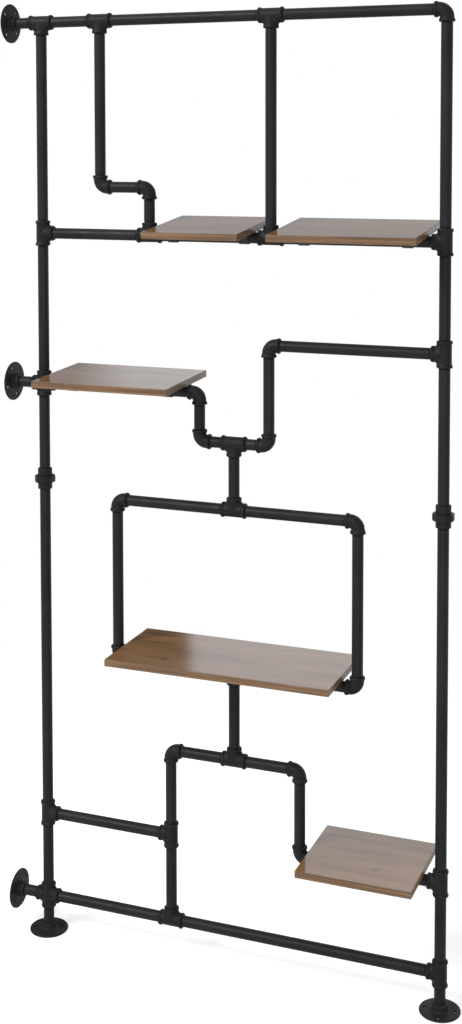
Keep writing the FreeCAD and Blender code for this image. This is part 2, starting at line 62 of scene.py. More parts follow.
# --- Fittings ---
TEE_REACH = 0.025           # centre of a tee or cross to the face of each mouth
ELBOW_REACH = 0.023         # centre of an elbow to the face of each mouth
BODY_R = 0.013
BEAD_R = 0.0148
BEAD_WIDTH = 0.008
BEAD_SLOPE = 0.0045
BEAD_ROUND = 0.0028
SOCKET_R = 0.01045
SOCKET_DEPTH = 0.0115
WATERWAY_R = 0.008
MOUTH_BREAK = 0.0006        # chamfer round a socket's mouth
CROWN_ROUND = 0.0012        # rounding of a hub's or a union collar's mouth
FILLET = 0.012              # reach of the cast fillet where arms meet
FILLET_ROUNDS = 6           # of moving the arms' points onto the filleted surface
ARM_RINGS = 16              # rings of points along each arm
ARM_CROWDING = 1.3          # above 1, the rings lie closer together where the arms meet

# --- Flanges ---
FLANGE_R = 0.0385
FLANGE_RIM = 0.0038
FLANGE_ROOT = 0.0044
RIM_ROUND = 0.0014          # rounding of the plate's outer edge
HUB_R = 0.015
HUB_ROUND = 0.003
HUB_HEIGHT = 0.017
HOLE_R = 0.00375
HOLE_CIRCLE_R = 0.028
HOLE_BEVEL = 0.0004
SECTOR_STEPS = FINE_STEPS // 4      # along each quarter of the plate's rim
SIDE_STEPS = 8                      # from the hub to the rim
PLATE_SHARES = (0, 0.06, 0.3, 0.65, 1)  # rings from a hole to the edge of its quarter
# Degrees that each flange is turned by, about its hub.
HOLE_TURNS = {"top_wall_flange": 52, "middle_wall_flange": 18, "bottom_wall_flange": 37,
              "left_floor_flange": 22, "right_floor_flange": 5}

# --- Unions ---
UNION_TAIL_REACH = 0.022    # joint of the two halves to the mouth of the upper one
UNION_BASE_REACH = 0.0195   # joint of the two halves to the mouth of the lower one
COLLAR_R = 0.01425
UNION_THREAD_R = 0.0165
UNION_THREAD_LENGTH = 0.006
UNION_THREAD_DEPTH = 0.0008
UNION_THREAD_RINGS = 20     # rings of points over the whole of a union's thread
SHOULDER_R = 0.0155
SHOULDER_HEIGHT = 0.004
NUT_FLAT_R = 0.019
NUT_SIDES = 8
NUT_HEIGHT = 0.013
NUT_SKIRT = 0.006
NUT_BEVEL = 0.0012
NUT_BEVEL_STEPS = 8
NUT_GAP = 0.0001            # between the nut and what it turns on

# --- Boards, straps and screws ---
BOARD_DEPTH = 0.2
BOARD_THICKNESS = 0.0132
BAND_THICKNESS = 0.0008
BAND_ROUND = 0.0007
BAND_CORNER = 0.0012        # rounding of a board's upright corners
SEAM = 0.00015              # bevel of the laminate where it meets the edge band
STRAP_WIDTH = 0.019
STRAP_THICKNESS = 0.0018
STRAP_EAR = 0.015
STRAP_GAP = 0.0001          # between the strap and the pipe
STRAP_INNER_R = PIPE_R + STRAP_GAP
STRAP_BEND_R = 0.0012       # inside the bend from leg to ear
STRAP_CORNER = 0.004
STRAP_HOLE_R = 0.0021
STRAP_ROUND = 0.0002        # rounding of the strap's long edges
OVERSHOOT = 0.001           # how far a cutting tool stands out of what it cuts
CUT_BELOW = 0.004           # reach of the tools that cut a strap, from the board's underside
CUT_ABOVE = 0.002
SCREW_ROW = STRAP_INNER_R + STRAP_THICKNESS + STRAP_EAR / 2
SCREW_R = 0.00175
SCREW_LENGTH = 0.009
SCREW_STEPS = 24
SCREW_RINGS = 36            # rings of points along the thread
SCREW_PITCH = 0.0014
SCREW_ROOT = 0.72           # the thread's root, as a share of its crest
SCREW_POINT = 2.2 * SCREW_R
SCREW_TURN = 17             # radians from one screw's drive to the next
PILOT_GAP = 0.00005         # between a screw and its pilot hole
CENTRE_R = 0.00002          # tiny flat in the middle of a turned end
HEAD_R = 0.00375
HEAD_HEIGHT = 0.0024
HEAD_CROWN = 0.0009
HEAD_SHOULDER = 0.0011      # from the top of the head to its full width
HEAD_BREAK = 0.0002
DRIVE_WIDTH = 0.001
DRIVE_SPAN = 0.0042
DRIVE_DEPTH = 0.0013
DRIVE_FLOOR = (0.55, 0.7)   # span and width of the drive's floor, as shares of its mouth
SEAT_GAP = 0.00005          # between a board and what it lies on
ON_PIPE = PIPE_R + SEAT_GAP
ON_BEADS = BEAD_R + SEAT_GAP
TOUCH = 1e-5                # points this close to a fitting's end lie on it
WELD = 2e-6                 # corners closer than this are one
SMOOTH_BELOW = 32           # degrees; sharper edges stay sharp

# Dark figure of the laminate on the centre and the low board: a knot or streak's middle, its
# half length along the grain, its half width and how dark it is.
FIGURE = [
    ((0.285, -0.0556, 0.615), 0.014, 0.014, 1.00), ((0.262, -0.0550, 0.615), 0.075, 0.017, 0.50),
    ((0.215, 0.0740, 0.615), 0.085, 0.015, 0.80), ((0.228, 0.0260, 0.615), 0.085, 0.011, 0.65),
    ((0.699, -0.0430, 0.268), 0.014, 0.010, 0.90), ((0.660, 0.0150, 0.268), 0.090, 0.012, 0.30),
]

# Every board: the pipes that it lies on, the height of its underside over their axis, its lean
# in degrees, and how far its straps stand in from its ends.
BOARDS = {
    "upper_left_shelf": ("upper_shelf_rail_pipes", ON_PIPE, 6.4, 0.023),
    "upper_right_shelf": ("upper_shelf_rail_pipes", ON_PIPE, 6.4, 0.040),
    "side_shelf": ("side_shelf_rail_pipe", ON_PIPE, 2.5, 0.040),
    "centre_shelf": ("centre_shelf_rail_pipes", ON_BEADS, 0.0, 0.040),
    "low_shelf": ("low_rail_pipes", ON_PIPE, 0.0, 0.040),
}

FITTING_NODES = [
    "top_post_tee", "top_rail_tees", "top_corner_elbow", "hook_elbows", "left_post_tees",
    "shelf_rail_tees", "right_upper_tees", "right_lower_tees", "middle_cross", "bottom_cross",
    "left_link_elbows", "right_link_elbows", "link_tees", "loop_top_elbows",
    "loop_bottom_elbows", "centre_tees", "lower_link_elbows", "low_shelf_elbow",
    "lower_post_tees",
]
PIPE_NODES = [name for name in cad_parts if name.endswith(("_pipe", "_pipes", "_nipples"))]

SIDES = {"L": np.array([-1.0, 0, 0]), "R": np.array([1.0, 0, 0]),
         "D": np.array([0, 0, -1.0]), "U": np.array([0, 0, 1.0])}
BACK = np.array([0, 1.0, 0])


# --- Reading places from the frame ---
def solids(node):
    """The points of each separate solid of a CAD node."""
    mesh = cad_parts[node].data
    points = np.empty(3 * len(mesh.vertices))
    mesh.vertices.foreach_get("co", points)
    points = points.reshape(-1, 3)
    edges = np.empty(2 * len(mesh.edges), int)
    mesh.edges.foreach_get("vertices", edges)
    places, same = np.unique(np.round(points * 1e6).astype(int), axis=0, return_inverse=True)
    same = same.ravel()
    ends = same[edges.reshape(-1, 2)]
    label = np.arange(len(places))
    while True:
        lowest = np.minimum(label[ends[:, 0]], label[ends[:, 1]])
        new = label.copy()
        np.minimum.at(new, ends[:, 0], lowest)
        np.minimum.at(new, ends[:, 1], lowest)
        new = new[new]
        if (new == label).all():
            break
        label = new
    found = label[same]
    return [points[found == one] for one in np.unique(found)]


def mouths_of(points):
    """Centre of a fitting and its mouths: a side has a mouth where it ends in a flat ring."""
    faces = {}
    for axis, (minus, plus) in ((0, "LR"), (2, "DU")):
        for side, edge in ((minus, points[:, axis].min()), (plus, points[:, axis].max())):
            on_edge = points[np.abs(points[:, axis] - edge) < TOUCH]
            if np.ptp(on_edge[:, 1]) > BODY_R:
                faces[side] = edge
    reach = ELBOW_REACH if len(faces) == 2 else TEE_REACH
    centre = np.zeros(3)
    for axis, pair in ((0, "LR"), (2, "DU")):
        centre[axis] = np.mean([faces[side] - SIDES[side][axis] * reach
                                for side in pair if side in faces])
    return centre, "".join(faces)


# --- Mesh building ---
def ring_stack(rings, wrap=False):
    """Points and faces of a skin through a list of rings, each of which is closed."""
    count = len(rings[0])
    faces = []
    for row in range(len(rings) if wrap else len(rings) - 1):
        here = row * count
        above = (row + 1) % len(rings) * count
        for column in range(count):
            after = (column + 1) % count
            faces.append((here + column, here + after, above + after, above + column))
    return np.concatenate(rings), faces


def closed_stack(rings):
    """A skin through a list of rings, with the first and the last ring filled."""
    points, faces = ring_stack(rings)
    count = len(rings[0])
    last = len(points) - count
    faces += [tuple(range(count)), tuple(range(last, last + count))]
    return points, faces


def circle(radius, height, angles):
    """Ring of points about +Z; the radius may be one number or one for each angle."""
    return np.stack([radius * np.cos(angles), radius * np.sin(angles),
                     np.full(len(angles), height)], 1)


def full_turn(steps, start=0.0):
    """Evenly spread angles, once round."""
    return start + np.linspace(0, 2 * math.pi, steps, endpoint=False)


TURN = full_turn(ROUND_STEPS)


def sweep(start, end, steps):
    """Angles between two angles that are given in degrees."""
    return np.radians(np.linspace(start, end, steps))


def turned(profile, steps=ROUND_STEPS):
    """Solid turned about +Z from a closed (radius, height) outline."""
    angles = full_turn(steps)
    return ring_stack([circle(radius, height, angles) for radius, height in profile], wrap=True)


def joined(*shapes):
    """Several (points, faces) shapes as one."""
    points = []
    faces = []
    count = 0
    for some_points, some_faces in shapes:
        points.append(some_points)
        faces += [tuple(index + count for index in face) for face in some_faces]
        count += len(some_points)
    return np.concatenate(points), faces


def moved(shape, matrix):
    """A shape after a 4 by 4 matrix."""
    points, faces = shape
    return points @ np.array(matrix.to_3x3()).T + np.array(matrix.translation), faces


def arc(centre, radius, start, end, steps):
    """Flat points on an arc, with its angles in degrees from the first axis to the second."""
    return [(centre[0] + radius * math.cos(a), centre[1] + radius * math.sin(a))
            for a in sweep(start, end, steps)]


def make_mesh(name, shape):
    """Mesh with shared corners welded, faces turned outwards and soft edges smoothed."""
    points, faces = shape
    mesh = bpy.data.meshes.new(name)
    mesh.from_pydata(points.tolist(), [], faces)
    work = bmesh.new()
    work.from_mesh(mesh)
    bmesh.ops.remove_doubles(work, verts=work.verts, dist=WELD)
    bmesh.ops.dissolve_degenerate(work, edges=work.edges, dist=1e-7)
    bmesh.ops.recalc_face_normals(work, faces=work.faces)
    work.to_mesh(mesh)
    work.free()
    mesh.shade_smooth()
    mesh.set_sharp_from_angle(angle=math.radians(SMOOTH_BELOW))
    return mesh


def in_scene(name, data):
    """A new object, linked to the scene."""
    obj = bpy.data.objects.new(name, data)
    bpy.context.scene.collection.objects.link(obj)
    return obj


def place(name, mesh, slot, materials, *nodes):
    """Puts a finished mesh in the scene for the CAD nodes that it stands for."""
    obj = in_scene(name, mesh)
    for material in materials:
        mesh.materials.append(material)
    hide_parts(*nodes)
    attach(obj, "root")
    return obj


def cut_mesh(name, shape, cutters):
    """A mesh with the cutters' shapes taken out of it."""
    obj = in_scene(name, make_mesh(name, shape))
    tool = in_scene("tool", make_mesh("tool", joined(*cutters)))
    modifier = obj.modifiers.new("holes", "BOOLEAN")
    modifier.object = tool
    modifier.operation = "DIFFERENCE"
    modifier.solver = "EXACT"
    evaluated = obj.evaluated_get(bpy.context.evaluated_depsgraph_get())
    mesh = bpy.data.meshes.new_from_object(evaluated)
    bpy.data.objects.remove(obj)
    bpy.data.objects.remove(tool)
    return mesh


def shape_of(mesh):
    """A mesh as points and faces."""
    points = np.array([vertex.co for vertex in mesh.vertices], float)
    return points, [tuple(polygon.vertices) for polygon in mesh.polygons]


# --- Pipes ---
def groove(height):
    """Depth of a thread's groove round a pipe at a height, from 0 on the crest to 1."""
    return 0.5 - 0.5 * np.cos(2 * math.pi * height / THREAD_PITCH - TURN)


def thread_end():
    """Rings of a threaded end, from its face inwards, as (radii, height)."""
    rings = [(PIPE_BORE_R + EDGE_BREAK, 0.0), (THREAD_R - THREAD_DEPTH, 0.0)]
    count = round(THREAD_LENGTH / THREAD_PITCH * THREAD_RINGS)
    for index in range(1, count + 1):
        height = THREAD_LENGTH * index / count
        fade = min(1.0, (THREAD_LENGTH - height) / THREAD_PITCH)
        start = min(1.0, height / THREAD_PITCH)
        depth = 1 - start * (1 - groove(height) * fade)
        rings.append((THREAD_R - THREAD_DEPTH * depth, height))
    rings.append((PIPE_R, THREAD_LENGTH + (PIPE_R - THREAD_R)))
    return rings


def pipe(length):
    """Pipe along +Z from the origin, with a thread on each end."""
    first = thread_end()
    last = [(radius, length - height) for radius, height in reversed(first)]
    inside = [(PIPE_BORE_R, length - EDGE_BREAK), (PIPE_BORE_R, EDGE_BREAK)]
    return turned(first + last + inside)


def pipes(node):
    """All the pipes of one node."""
    shapes = []
    for points in solids(node):
        low, high = points.min(0), points.max(0)
        axis = int(np.argmax(high - low))
        start = (low + high) / 2
        start[axis] = low[axis]
        aim = Matrix.Identity(4)
        if axis == 0:
            aim = Matrix.Rotation(math.radians(90), 4, "Y")
        aim.translation = Vector(start)
        shapes.append(moved(pipe(high[axis] - low[axis]), aim))
    return joined(*shapes)


# --- Fittings ---
def bead(distance, reach):
    """Radius of an arm at a distance from the fitting's centre, as it swells to its bead."""
    share = np.clip((distance - reach + BEAD_WIDTH) / BEAD_SLOPE, 0, 1)
    return BODY_R + (BEAD_R - BODY_R) * (0.5 - 0.5 * np.cos(math.pi * share))


def mouth_profile(reach):
    """(distance, radius) from the end of the bead's crest over the mouth and down the socket."""
    return arc((reach - BEAD_ROUND, BEAD_R - BEAD_ROUND), BEAD_ROUND, 90, 0, 7) + [
        (reach, SOCKET_R + MOUTH_BREAK), (reach - MOUTH_BREAK, SOCKET_R),
        (reach - SOCKET_DEPTH, SOCKET_R), (reach - SOCKET_DEPTH, WATERWAY_R)]


def ring(centre, normal, radius):
    """Ring of points around a centre, starting from the normal towards +Y."""
    spread = np.outer(np.cos(TURN), normal) + np.outer(np.sin(TURN), BACK)
    return centre + np.reshape(radius, (-1, 1)) * spread


def blended(points, sides):
    """Moves points of the arms onto one smooth cast surface, with the creases filled."""

    def outside(where, axis, pair):
        """How far points lie outside the one or two arms along an axis."""
        across = np.hypot(where[:, 2 - axis], where[:, 1])
        radius = bead(np.abs(where[:, axis]), TEE_REACH)
        present = [side for side in pair if side in sides]
        if len(present) == 2:
            return across - radius
        behind = np.maximum(0, -where[:, axis] * SIDES[present[0]][axis])
        return np.hypot(across, behind) + behind - radius

    def height(where):
        first = outside(where, 0, "LR")
        second = outside(where, 2, "DU")
        wide = FILLET * np.maximum(1e-3, 1 - (where[:, 1] / BODY_R) ** 2)
        shared = np.maximum(wide - np.abs(first - second), 0) / wide
        return np.minimum(first, second) - shared * shared * wide / 4

    where = points.copy()
    step = 1e-6
    for _ in range(FILLET_ROUNDS):
        here = height(where)
        slope = np.stack([(height(where + step * axis) - here) / step for axis in np.eye(3)], 1)
        size = np.maximum((slope ** 2).sum(1), 0.25)    # keeps the steps short near a crease
        where -= slope * (here / size)[:, None]
    return where


def branched(sides):
    """Tee or cross: arms whose inner ends meet on their common edges, blended by a fillet."""
    shapes = []
    crest_end = TEE_REACH - BEAD_ROUND
    for side in sides:
        out = SIDES[side]
        across = "UD" if side in "LR" else "LR"
        normal = SIDES[across[0]]
        met = np.where(np.cos(TURN) > 0, across[0] in sides, across[1] in sides)
        rings = []
        for share in np.linspace(0, 1, ARM_RINGS + 1)[:-1] ** ARM_CROWDING:
            inner = BODY_R * np.abs(np.cos(TURN)) * met
            along = inner + share * (crest_end - inner)
            points = ring(np.zeros(3), normal, bead(along, TEE_REACH)) + np.outer(along, out)
            rings.append(blended(points, sides))
        rings += [ring(distance * out, normal, radius)
                  for distance, radius in mouth_profile(TEE_REACH)]
        for share in (0.5, 0.0):
            inner = WATERWAY_R * np.abs(np.cos(TURN)) * met
            along = inner + share * (TEE_REACH - SOCKET_DEPTH - inner)
            rings.append(ring(np.zeros(3), normal, WATERWAY_R) + np.outer(along, out))
        shapes.append(ring_stack(rings))
    return joined(*shapes)


def elbow(sides):
    """Elbow: one skin that runs out of one mouth, in at the other and back through the bend."""
    first = SIDES[sides[0]]
    second = SIDES[sides[1]]

    def bend(bend_radius, radius, steps):
        """Rings around the bend, from the first mouth to the second."""
        rings = []
        for angle in sweep(0, 90, steps):
            inwards = second * math.cos(angle) + first * math.sin(angle)
            centre = (first + second) * bend_radius - bend_radius * inwards
            rings.append(ring(centre, inwards, radius))
        return rings

    swell = [(distance, bead(distance, ELBOW_REACH))
             for distance in ELBOW_REACH - BEAD_WIDTH + np.linspace(0, BEAD_SLOPE, 8)]
    profile = swell + mouth_profile(ELBOW_REACH)
    outer = bend(ELBOW_REACH - BEAD_WIDTH, BODY_R, 15)
    inner = bend(ELBOW_REACH - SOCKET_DEPTH, WATERWAY_R, 9)
    rings = outer[1:-1]
    rings += [ring(distance * second, first, radius) for distance, radius in profile]
    rings += inner[-2:0:-1]
    rings += [ring(distance * first, second, radius) for distance, radius in reversed(profile)]
    return ring_stack(rings, wrap=True)


def fittings(node):
    """All the fittings of one node."""
    shapes = []
    for points in solids(node):
        centre, sides = mouths_of(points)
        shape = elbow(sides) if len(sides) == 2 else branched(sides)
        shapes.append(moved(shape, Matrix.Translation(Vector(centre))))
    return joined(*shapes)


# --- Flanges ---
def holed_plate(inner_r, outer_r, level):
    """Ring-shaped face with four holes; level gives the height at each radius."""
    quarter = math.pi / 4
    angles = np.linspace(-quarter, quarter, SECTOR_STEPS + 1)
    radii = np.linspace(inner_r, outer_r, SIDE_STEPS + 1)
    border = [(inner_r, angle) for angle in angles[:-1]]
    border += [(radius, quarter) for radius in radii[:-1]]
    border += [(outer_r, angle) for angle in angles[:0:-1]]
    border += [(radius, -quarter) for radius in radii[:0:-1]]
    edge = np.array([(r * math.cos(a), r * math.sin(a)) for r, a in border])
    middle = np.array([HOLE_CIRCLE_R, 0])
    away = edge - middle
    away = away / np.linalg.norm(away, axis=1)[:, None]
    hole = middle + away * (HOLE_R + HOLE_BEVEL)
    shapes = []
    for quarter_turn in range(4):
        turn = quarter_turn * math.pi / 2
        spin = np.array([[math.cos(turn), math.sin(turn)], [-math.sin(turn), math.cos(turn)]])
        rings = []
        for share in PLATE_SHARES:
            flat = (hole + (edge - hole) * share) @ spin
            rings.append(np.column_stack([flat, level(np.hypot(flat[:, 0], flat[:, 1]))]))
        shapes.append(ring_stack(rings))
    return joined(*shapes)


def underside(radius):
    """Level of the face that is screwed down."""
    return 0 * radius


def hole_walls(plate, top_level):
    """Walls of a plate's four holes, with a small bevel at both ends."""
    count = 2 * (SECTOR_STEPS + SIDE_STEPS)
    shapes = []
    for quarter_turn in range(4):
        first = quarter_turn * len(PLATE_SHARES) * count
        rim = plate[first:first + count, :2]
        middle = rim.mean(0) / np.linalg.norm(rim.mean(0)) * HOLE_CIRCLE_R
        away = (rim - middle) / np.linalg.norm(rim - middle, axis=1)[:, None]
        top = top_level(np.hypot(rim[:, 0], rim[:, 1]))
        wide = middle + away * (HOLE_R + HOLE_BEVEL)
        narrow = middle + away * HOLE_R
        rings = [np.column_stack([wide, top]), np.column_stack([narrow, top - HOLE_BEVEL]),
                 np.column_stack([narrow, np.full(count, HOLE_BEVEL)]),
                 np.column_stack([wide, np.zeros(count)])]
        shapes.append(ring_stack(rings))
    return joined(*shapes)


def flange():
    """Flange with its mounting face at the origin, its hub along +Z and a hole towards +X."""
    root_r = HUB_R + HUB_ROUND
    outer_r = FLANGE_R - RIM_ROUND
    angles = full_turn(FINE_STEPS, -math.pi / 4)

    def top(radius):
        share = (radius - root_r) / (FLANGE_R - root_r)
        return FLANGE_ROOT + (FLANGE_RIM - FLANGE_ROOT) * share

    def skin(profile):
        return ring_stack([circle(radius, height, angles) for radius, height in profile])

    hub = arc((root_r, FLANGE_ROOT + HUB_ROUND), HUB_ROUND, 270, 180, 7)
    hub += arc((HUB_R - CROWN_ROUND, HUB_HEIGHT - CROWN_ROUND), CROWN_ROUND, 0, 90, 5)
    hub += [(SOCKET_R + MOUTH_BREAK, HUB_HEIGHT), (SOCKET_R, HUB_HEIGHT - MOUTH_BREAK),
            (SOCKET_R, EDGE_BREAK), (SOCKET_R + EDGE_BREAK, 0.0), (root_r, 0.0)]
    rim = arc((outer_r, top(outer_r) - RIM_ROUND), RIM_ROUND, 90, 0, 5)
    rim += arc((outer_r, RIM_ROUND), RIM_ROUND, 0, -90, 5)
    bottom = holed_plate(root_r, outer_r, underside)
    return joined(skin(hub), skin(rim), holed_plate(root_r, outer_r, top), bottom,
                  hole_walls(bottom[0], top))


def flange_at(node):
    """A flange turned and moved to its node."""
    points = solids(node)[0]
    low, high = points.min(0), points.max(0)
    foot = Vector((low + high) / 2)
    aim = Matrix.Rotation(math.radians(HOLE_TURNS[node]), 4, "Z")
    if high[2] - low[2] < high[0] - low[0]:
        foot.z = low[2]
    else:
        foot.x = low[0]
        aim = Matrix.Rotation(math.radians(90), 4, "Y") @ aim
    return moved(flange(), Matrix.Translation(foot) @ aim)


# --- Unions ---
def collar_end(reach):
    """Outline of a union's rounded mouth and the socket in it."""
    return arc((COLLAR_R - CROWN_ROUND, reach - CROWN_ROUND), CROWN_ROUND, 0, 90, 5) + [
        (SOCKET_R + MOUTH_BREAK, reach), (SOCKET_R, reach - MOUTH_BREAK),
        (SOCKET_R, reach - SOCKET_DEPTH), (WATERWAY_R, reach - SOCKET_DEPTH)]


def union_tail():
    """Upper half: a shoulder under the nut's lip, then a collar with a rounded mouth."""
    profile = [(WATERWAY_R, 0.0), (SHOULDER_R - EDGE_BREAK, 0.0), (SHOULDER_R, EDGE_BREAK),
               (SHOULDER_R, SHOULDER_HEIGHT), (COLLAR_R, SHOULDER_HEIGHT)]
    return turned(profile + collar_end(UNION_TAIL_REACH))


def union_base():
    """Lower half, built upwards and turned over: the nut's thread, then its collar."""
    root_r = UNION_THREAD_R - UNION_THREAD_DEPTH
    profile = [(WATERWAY_R, 0.0), (root_r, 0.0)]
    for index in range(1, UNION_THREAD_RINGS):
        height = UNION_THREAD_LENGTH * index / UNION_THREAD_RINGS
        profile.append((UNION_THREAD_R - UNION_THREAD_DEPTH * groove(height), height))
    profile += [(root_r, UNION_THREAD_LENGTH), (COLLAR_R, UNION_THREAD_LENGTH)]
    return turned(profile + collar_end(UNION_BASE_REACH))


def union_nut():
    """Eight-sided nut with turned bevels; its lower end is at the origin."""
    sector = 2 * math.pi / NUT_SIDES
    from_flat = (full_turn(FINE_STEPS) + sector / 2) % sector - sector / 2
    flats = NUT_FLAT_R / np.cos(from_flat)
    face_r = flats.max() - NUT_BEVEL
    edge = np.minimum(flats, face_r) - EDGE_BREAK
    bevel = [(np.minimum(flats, face_r + height), height)
             for height in np.linspace(0, NUT_BEVEL, NUT_BEVEL_STEPS + 1)]
    bore = UNION_THREAD_R + NUT_GAP
    through = COLLAR_R + NUT_GAP
    lip = NUT_SKIRT + SHOULDER_HEIGHT + NUT_GAP
    profile = [(bore + MOUTH_BREAK, 0.0), (edge, 0.0)] + bevel
    profile += [(radii, NUT_HEIGHT - height) for radii, height in reversed(bevel)]
    profile += [(edge, NUT_HEIGHT), (through + EDGE_BREAK, NUT_HEIGHT),
                (through, NUT_HEIGHT - EDGE_BREAK), (through, lip), (bore, lip),
                (bore, MOUTH_BREAK)]
    return turned(profile, FINE_STEPS)


UNIONS = {"union_bases": union_base, "union_tails": union_tail, "union_nuts": union_nut}


def union_pieces(node):
    """The base, the tail or the nut of every union."""
    turned_over = node == "union_bases"
    aim = Matrix.Rotation(math.pi if turned_over else 0, 4, "X")
    shapes = []
    for points in solids(node):
        low, high = points.min(0), points.max(0)
        start = Vector((low + high) / 2)
        start.z = high[2] if turned_over else low[2]
        shapes.append(moved(UNIONS[node](), Matrix.Translation(start) @ aim))
    return joined(*shapes)


# --- Boards ---
def rounded_outline(low, high, corner, inset, height, steps):
    """Ring round a rectangle with rounded corners, drawn in by the inset."""
    points = []
    left, front = low[:2] + corner
    right, back = high[:2] - corner
    for x, y, start in ((right, back, 0), (left, back, 90), (left, front, 180),
                        (right, front, 270)):
        for angle in sweep(start, start + 90, steps):
            points.append((x + (corner - inset) * math.cos(angle),
                           y + (corner - inset) * math.sin(angle), height))
    return np.array(points)


def rounded_side(bottom, top, soft, steps):
    """(inset, height) up an upright side whose lower and upper edges are rounded."""
    bends = arc((soft, soft), soft, 270, 180, steps)
    return ([(inset, bottom + rise) for inset, rise in bends]
            + [(inset, top - rise) for inset, rise in bends[::-1]])


def laminated_core(low, high):
    """The board inside its edge band, with the laminate's thin bevel on every edge."""
    return closed_stack([rounded_outline(low, high, SEAM, inset, height, 3)
                         for inset, height in rounded_side(low[2], high[2], SEAM, 3)])


def band(low, high):
    """Edge band around a board: a rectangular ring with rounded outer edges."""
    side = rounded_side(low[2], high[2], BAND_ROUND, 4)
    side = [(BAND_THICKNESS, low[2])] + side + [(BAND_THICKNESS, high[2])]
    return ring_stack([rounded_outline(low, high, BAND_CORNER, inset, height, 5)
                       for inset, height in side], wrap=True)


def cylinder(radius, length):
    """Plain closed cylinder along +Z, for cutting."""
    angles = full_turn(SCREW_STEPS)
    return closed_stack([circle(radius, height, angles) for height in (0, length)])


def board_place(node):
    """Ends of a board along X, its seat and strap inset, and what leans it and lifts it."""
    low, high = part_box(node)
    rail, seat, lean, inset = BOARDS[node]
    rail_low, rail_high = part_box(rail)
    height = (rail_low.z + rail_high.z) / 2
    matrix = Matrix.Translation((0, 0, height)) @ Matrix.Rotation(math.radians(lean), 4, "X")
    return low.x, high.x, seat, inset, matrix


def board(node):
    """Laminated board with an edge band all round and pilot holes for its strap screws."""
    left, right, seat, inset, matrix = board_place(node)
    low = np.array([left, -BOARD_DEPTH / 2, seat])
    high = np.array([right, BOARD_DEPTH / 2, seat + BOARD_THICKNESS])
    margin = np.array([BAND_THICKNESS, BAND_THICKNESS, 0])
    hole = cylinder(SCREW_R + PILOT_GAP, SCREW_LENGTH - STRAP_THICKNESS + OVERSHOOT)
    holes = [moved(hole, Matrix.Translation((x, y, seat - OVERSHOOT)))
             for x in (left + inset, right - inset) for y in (-SCREW_ROW, SCREW_ROW)]
    core = cut_mesh("core", laminated_core(low + margin, high - margin), holes)
    return moved(joined(shape_of(core), band(low, high)), matrix)


# --- Straps and screws ---
def strap(seat):
    """Band under the pipe with an ear on each side, its screw holes and rounded corners."""
    under = seat - STRAP_THICKNESS
    outer_r = STRAP_INNER_R + STRAP_THICKNESS
    ear = outer_r + STRAP_EAR
    right = []      # inside and outside points, from the middle of the band to the ear's end
    for angle in sweep(-90, 0, 13):
        way = np.array([math.cos(angle), math.sin(angle)])
        right.append((STRAP_INNER_R * way, outer_r * way))
    hinge = np.array([outer_r + STRAP_BEND_R, under - STRAP_BEND_R])
    for angle in sweep(180, 90, 7):
        way = np.array([math.cos(angle), math.sin(angle)])
        right.append((hinge + (STRAP_BEND_R + STRAP_THICKNESS) * way, hinge + STRAP_BEND_R * way))
    for reach in np.linspace(hinge[0], ear, 5)[1:]:
        right.append((np.array([reach, seat]), np.array([reach, under])))
    mirror = np.array([-1, 1])
    pairs = [(mirror * a, mirror * b) for a, b in right[:0:-1]] + right
    section = [a for a, b in pairs] + [b for a, b in reversed(pairs)]
    middles = [(a + b) / 2 for a, b in pairs]
    middles += middles[::-1]
    half = STRAP_WIDTH / 2
    rings = []
    for x, inset in ((-half, STRAP_ROUND), (-half + STRAP_ROUND, 0.0),
                     (half - STRAP_ROUND, 0.0), (half, STRAP_ROUND)):
        share = inset / (STRAP_THICKNESS / 2)
        rings.append(np.array([(x, *(point + (middle - point) * share))
                               for point, middle in zip(section, middles)]))
    points, faces = ring_stack(rings)
    count = len(section)
    for index in range(len(pairs) - 1):
        facing = count - 1 - index
        for first in (0, 3 * count):
            faces.append((first + index, first + index + 1, first + facing - 1, first + facing))
    hole = cylinder(STRAP_HOLE_R, CUT_BELOW + CUT_ABOVE)
    cutters = [moved(hole, Matrix.Translation((0, y, seat - CUT_BELOW)))
               for y in (-SCREW_ROW, SCREW_ROW)]
    cutters += [ear_corner(x_sign, y_sign, ear, seat) for x_sign in (-1, 1) for y_sign in (-1, 1)]
    return shape_of(cut_mesh("strap", (points, faces), cutters))


def ear_corner(x_sign, y_sign, ear, seat):
    """What is cut off one corner of an ear to round it."""
    radius = STRAP_CORNER
    outside = radius + 2 * OVERSHOOT
    x = STRAP_WIDTH / 2 - radius
    y = ear - radius
    flat = [(x + outside, y), (x + outside, y + outside), (x, y + outside)]
    flat += arc((x, y), radius, 90, 0, 9)
    return closed_stack([np.array([(x_sign * px, y_sign * py, height) for px, py in flat])
                         for height in (seat - CUT_BELOW, seat + CUT_ABOVE)])


